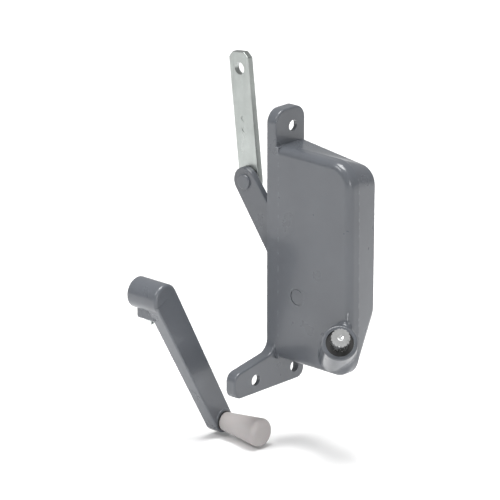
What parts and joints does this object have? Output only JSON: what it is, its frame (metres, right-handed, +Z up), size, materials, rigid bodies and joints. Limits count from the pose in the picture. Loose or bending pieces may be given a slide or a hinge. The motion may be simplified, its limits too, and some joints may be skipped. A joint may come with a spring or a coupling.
{
  "type": "window crank operator",
  "caption": "Geared operator for an awning or jalousie window, with a swing arm and link, a slanted crank shaft and a loose crank handle.",
  "frame": {"origin": "on the mounting face, midway between the two lower screw holes", "axes": "+X out of the mounting face into the room, +Y along the flange away from the big face, +Z up"},
  "size_m": [0.111, 0.0745, 0.1972],
  "materials": {
    "grey_enamel": "glossy grey enamel on die-cast zinc",
    "arm_enamel": "grey enamel on steel",
    "handle_enamel": "glossy grey enamel on die-cast zinc",
    "pin_enamel": "painted over with the cover",
    "zinc_plate": "clear zinc plating",
    "rivet_steel": "zinc-plated steel",
    "screw_zinc": "zinc-plated steel",
    "gear_steel": "oiled steel",
    "spline_steel": "bright zinc-plated steel",
    "bronze": "sintered bronze",
    "seal_felt": "oiled black felt",
    "washer_black": "black fibre",
    "knob_plastic": "satin warm grey moulded plastic"
  },
  "bodies": {
    "frame": {"housing_body": "grey_enamel", "front_cover": "grey_enamel", "cover_screws": "screw_zinc", "arm_pivot_pin": "pin_enamel", "pivot_washers": "gear_steel", "worm_lower_bushing": "bronze", "worm_upper_bushing": "bronze", "worm_thrust_washer": "gear_steel", "crank_bushing": "bronze", "crank_seal": "seal_felt"},
    "arm": {"arm": "arm_enamel", "arm_gear_rivets": "rivet_steel", "arm_bushing": "bronze", "sector_gear": "gear_steel", "link_rivet": "rivet_steel", "link_washer": "rivet_steel"},
    "link": {"link": "zinc_plate"},
    "worm": {"worm": "gear_steel", "worm_bevel_gear": "gear_steel"},
    "crank": {"crank_shaft": "spline_steel", "crank_bevel_pinion": "gear_steel", "crank_thrust_washer": "gear_steel", "crank_retaining_ring": "gear_steel"},
    "handle": {"handle_arm": "handle_enamel", "handle_set_screw": "screw_zinc", "knob_pin": "rivet_steel", "knob_washer": "washer_black"},
    "knob": {"handle_knob": "knob_plastic"}
  },
  "joints": [
    {"name": "arm_swing", "type": "hinge", "parent": "frame", "child": "arm", "pos_m": [0.0202, 0, 0.0437], "axis": [0, -1, 0], "range_deg": [-8, 65]},
    {"name": "link_pivot", "type": "hinge", "parent": "arm", "child": "link", "pos_m": [-0.01879, 0, 0.0947], "axis": [0, -1, 0], "range_deg": [-2, 100]},
    {"name": "worm_turn", "type": "hinge", "parent": "frame", "child": "worm", "pos_m": [0.0396, 0.0086, 0.0437], "axis": [0, 0, 1], "range_deg": [-1960, 250]},
    {"name": "crank_turn", "type": "hinge", "parent": "frame", "child": "crank", "pos_m": [0.0396, 0.0086, 0.01438], "axis": [0.5792, -0.5792, 0.5736], "range_deg": [-250, 1960]},
    {"name": "handle_pull", "type": "slide", "parent": "frame", "child": "handle", "axis": [-1, 0, 0], "range_m": [0, 0.05]},
    {"name": "knob_spin", "type": "hinge", "parent": "handle", "child": "knob", "pos_m": [-0.0202, -0.0097, -0.0295], "axis": [1, 0, 0], "continuous": true}
  ],
  "couplings": [
    {"joint": "worm_turn", "follows": "arm_swing", "ratio": -30},
    {"joint": "crank_turn", "follows": "arm_swing", "ratio": 30}
  ]
}
